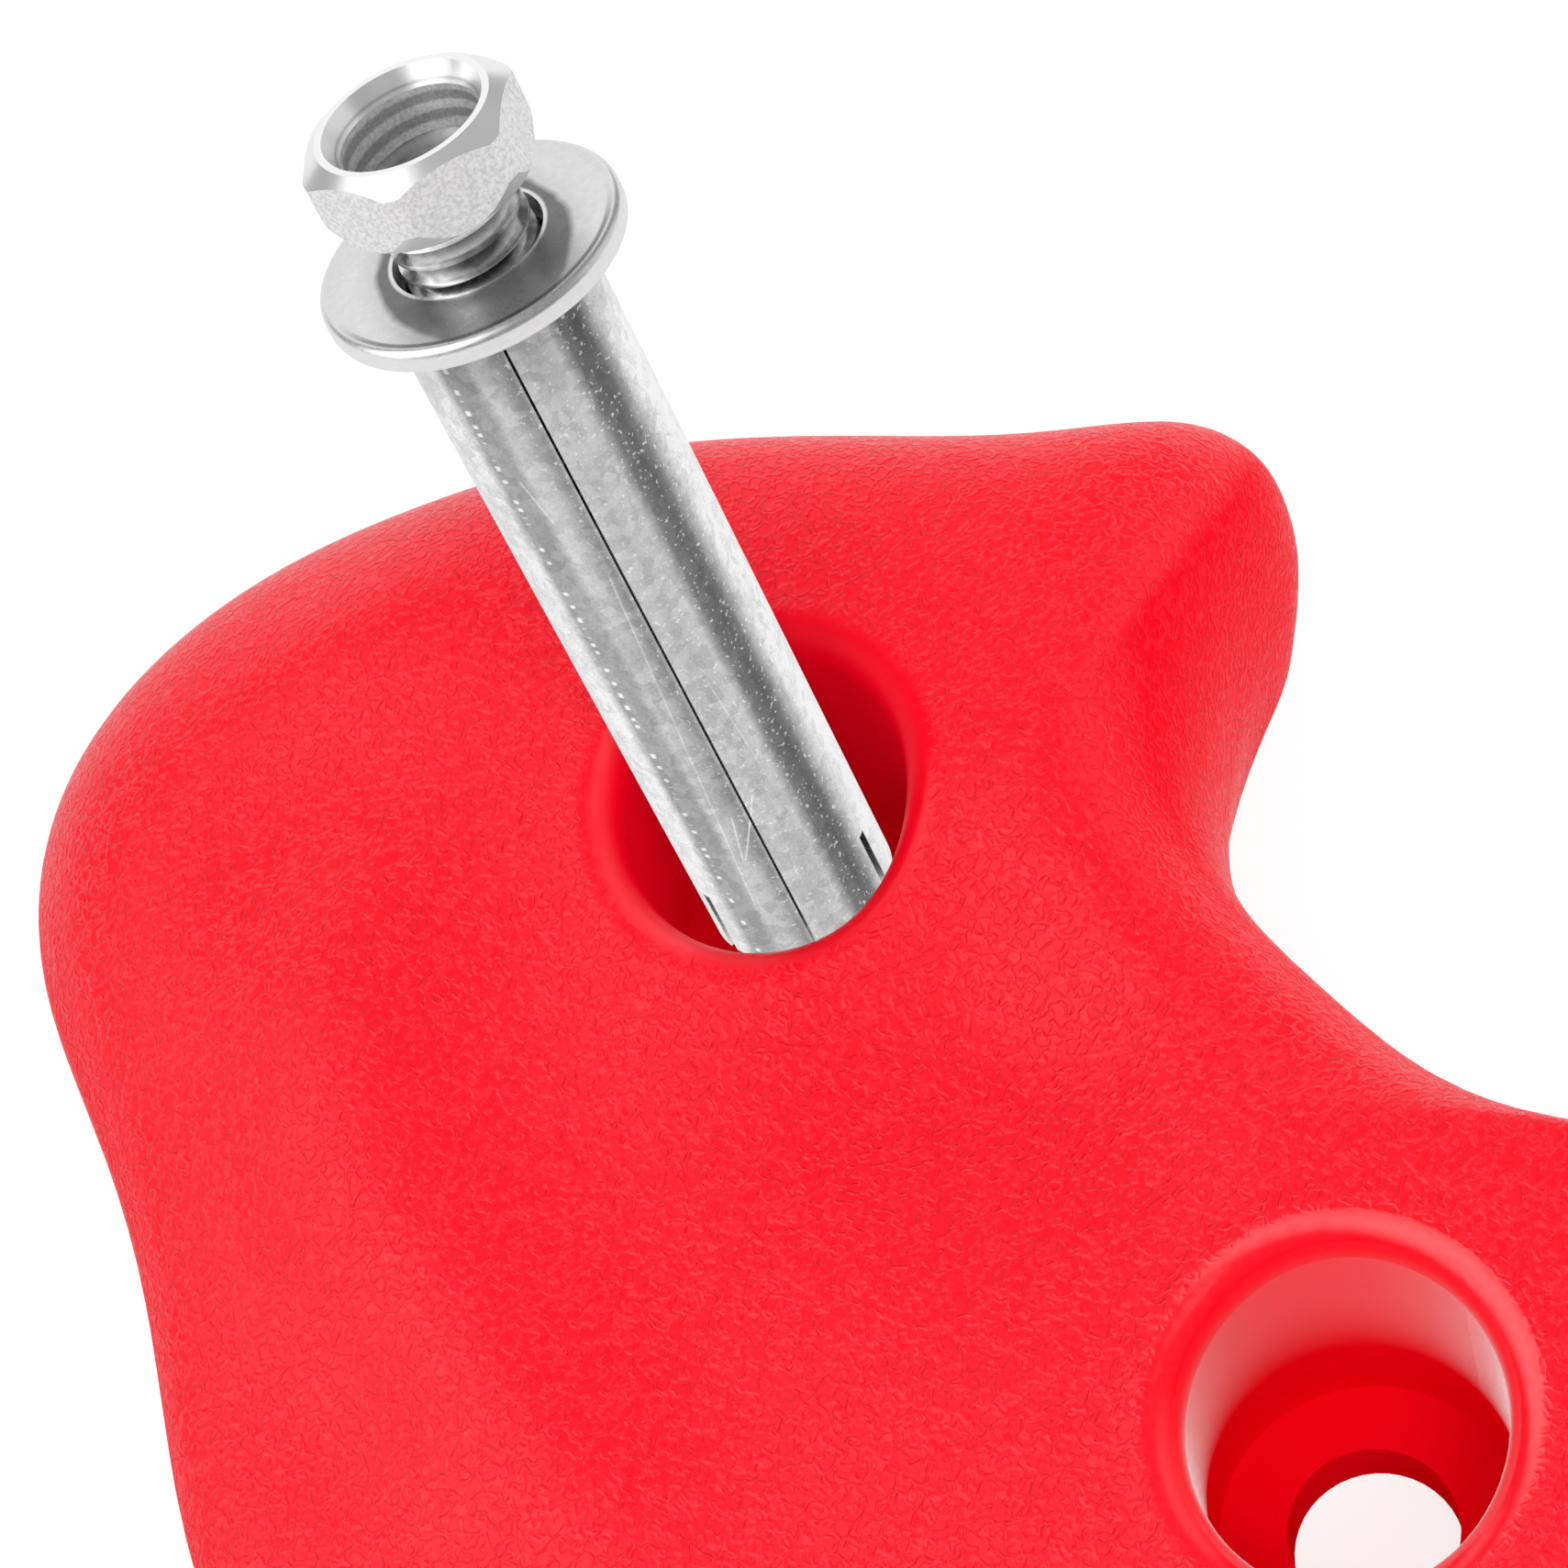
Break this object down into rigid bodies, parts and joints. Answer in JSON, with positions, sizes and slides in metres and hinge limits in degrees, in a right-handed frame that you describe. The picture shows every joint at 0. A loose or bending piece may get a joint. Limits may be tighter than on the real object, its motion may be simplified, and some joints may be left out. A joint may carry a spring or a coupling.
{
  "type": "climbing hold",
  "caption": "Rounded kidney-shaped bolt-on climbing hold with recessed bolt wells, an open ribbed back and a leaning sleeve anchor with washer and hex nut.",
  "frame": {"origin": "on the flat back face of the hold, midway between its two bores", "axes": "+Z out of the wall, +Y up through both bores towards the one with the anchor, +X to the hold's right"},
  "size_m": [0.0996, 0.1352, 0.0766],
  "materials": {
    "hold_plastic": "fine grain",
    "sleeve_steel": "zinc plated",
    "stud_steel": "zinc plated",
    "washer_steel": "zinc plated",
    "nut_steel": "zinc plated"
  },
  "bodies": {
    "hold": {"hold_body": "hold_plastic"},
    "sleeve": {"anchor_sleeve": "sleeve_steel"},
    "stud": {"anchor_stud": "stud_steel"},
    "washer": {"flat_washer": "washer_steel"},
    "nut": {"hex_nut": "nut_steel"}
  },
  "joints": [
    {"name": "anchor_lift", "type": "slide", "parent": "hold", "child": "sleeve", "axis": [0.0342, 0.2789, 0.9597], "range_m": [0, 0.045]},
    {"name": "nut_spin", "type": "hinge", "parent": "sleeve", "child": "nut", "pos_m": [-0.0003, 0.02404, 0.0089], "axis": [-0.0342, -0.2789, -0.9597], "range_deg": [0, 576]},
    {"name": "stud_draw", "type": "slide", "parent": "sleeve", "child": "stud", "axis": [0.0342, 0.2789, 0.9597], "range_m": [0, 0.002]},
    {"name": "washer_slide", "type": "slide", "parent": "sleeve", "child": "washer", "axis": [0.0342, 0.2789, 0.9597], "range_m": [0, 0.004]}
  ],
  "couplings": [
    {"joint": "nut_spin", "follows": "stud_draw", "rad_per_m": 5026.5}
  ]
}
